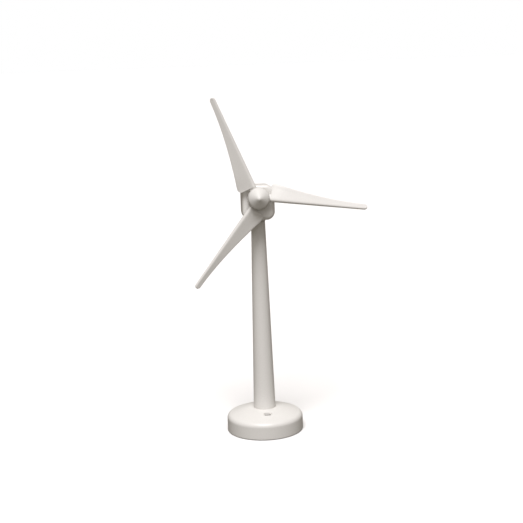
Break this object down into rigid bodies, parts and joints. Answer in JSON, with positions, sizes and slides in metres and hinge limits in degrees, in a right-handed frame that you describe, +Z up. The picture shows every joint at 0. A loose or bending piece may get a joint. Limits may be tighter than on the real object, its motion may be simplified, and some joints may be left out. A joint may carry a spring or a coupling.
{
  "type": "desktop model wind turbine",
  "caption": "Desktop model wind turbine: round battery base, tapered tower and a turning nacelle whose small motor spins a bladed rotor.",
  "frame": {"origin": "on the tower's axis, at the level of the desk the feet stand on", "axes": "+Z up along the tower; the rotor faces -Y, tipped up five degrees; +X to the right seen from the front"},
  "size_m": [0.1656, 0.0791, 0.3299],
  "materials": {
    "white_shell": "satin moulded white plastic",
    "white_lid": "lightly textured white plastic",
    "white_knob": "matte off-white plastic",
    "foot_rubber": "soft dark rubber",
    "screw_steel": "zinc-plated steel",
    "spring_steel": "nickel-plated spring steel",
    "cell_sleeve": "printed shrink sleeve, plain",
    "black_plastic": "black plastic",
    "terminal_brass": "tinned brass",
    "washer_nylon": "natural nylon",
    "red_lead": "red insulation",
    "black_lead": "black insulation",
    "motor_steel": "plated steel",
    "bell_plastic": "natural white nylon",
    "bush_bronze": "bronze",
    "magnet_grey": "sintered ferrite",
    "winding_copper": "enamelled copper wire"
  },
  "bodies": {
    "base": {"base_shell": "white_shell", "base_plate": "white_lid", "base_screws": "screw_steel", "rubber_feet": "foot_rubber", "battery_front": "cell_sleeve", "battery_rear": "cell_sleeve", "battery_link_contact": "spring_steel", "battery_positive_contact": "spring_steel", "battery_negative_contact": "spring_steel", "battery_spring_front": "spring_steel", "battery_spring_rear": "spring_steel", "switch_housing": "black_plastic", "switch_terminals": "terminal_brass", "switch_screws": "screw_steel", "tower": "white_shell", "tower_screws": "screw_steel", "yaw_washer": "washer_nylon", "spigot_clip": "spring_steel", "lead_switch_to_tower": "red_lead", "lead_battery_to_switch": "red_lead", "lead_battery_to_tower": "black_lead", "lead_sleeve": "black_plastic"},
    "battery_door": {"battery_door": "white_lid", "middle_foot": "foot_rubber"},
    "switch_knob": {"switch_knob": "white_knob"},
    "nacelle": {"nacelle_lower": "white_shell", "nacelle_upper": "white_shell", "nacelle_screws": "screw_steel", "motor_can": "motor_steel", "motor_bell": "bell_plastic", "motor_bushes": "bush_bronze", "motor_magnets": "magnet_grey", "motor_brushes": "terminal_brass", "motor_lead_red": "red_lead", "motor_lead_black": "black_lead"},
    "rotor": {"motor_shaft": "motor_steel", "motor_armature": "motor_steel", "motor_windings": "winding_copper", "motor_commutator": "bush_bronze", "hub": "white_shell", "spinner": "white_shell", "blade_1": "white_shell", "blade_2": "white_shell", "blade_3": "white_shell"}
  },
  "joints": [
    {"name": "nacelle_yaw", "type": "hinge", "parent": "base", "child": "nacelle", "pos_m": [0, 0, 0.214], "axis": [0, 0, 1], "range_deg": [-170, 170]},
    {"name": "rotor_spin", "type": "hinge", "parent": "nacelle", "child": "rotor", "pos_m": [0, 0, 0.23273], "axis": [0, -0.9962, 0.0872], "continuous": true},
    {"name": "switch_slide", "type": "slide", "parent": "base", "child": "switch_knob", "axis": [1, 0, 0], "range_m": [0, 0.002]},
    {"name": "battery_door_lift", "type": "slide", "parent": "base", "child": "battery_door", "axis": [0, 0, -1], "range_m": [0, 0.02]}
  ]
}
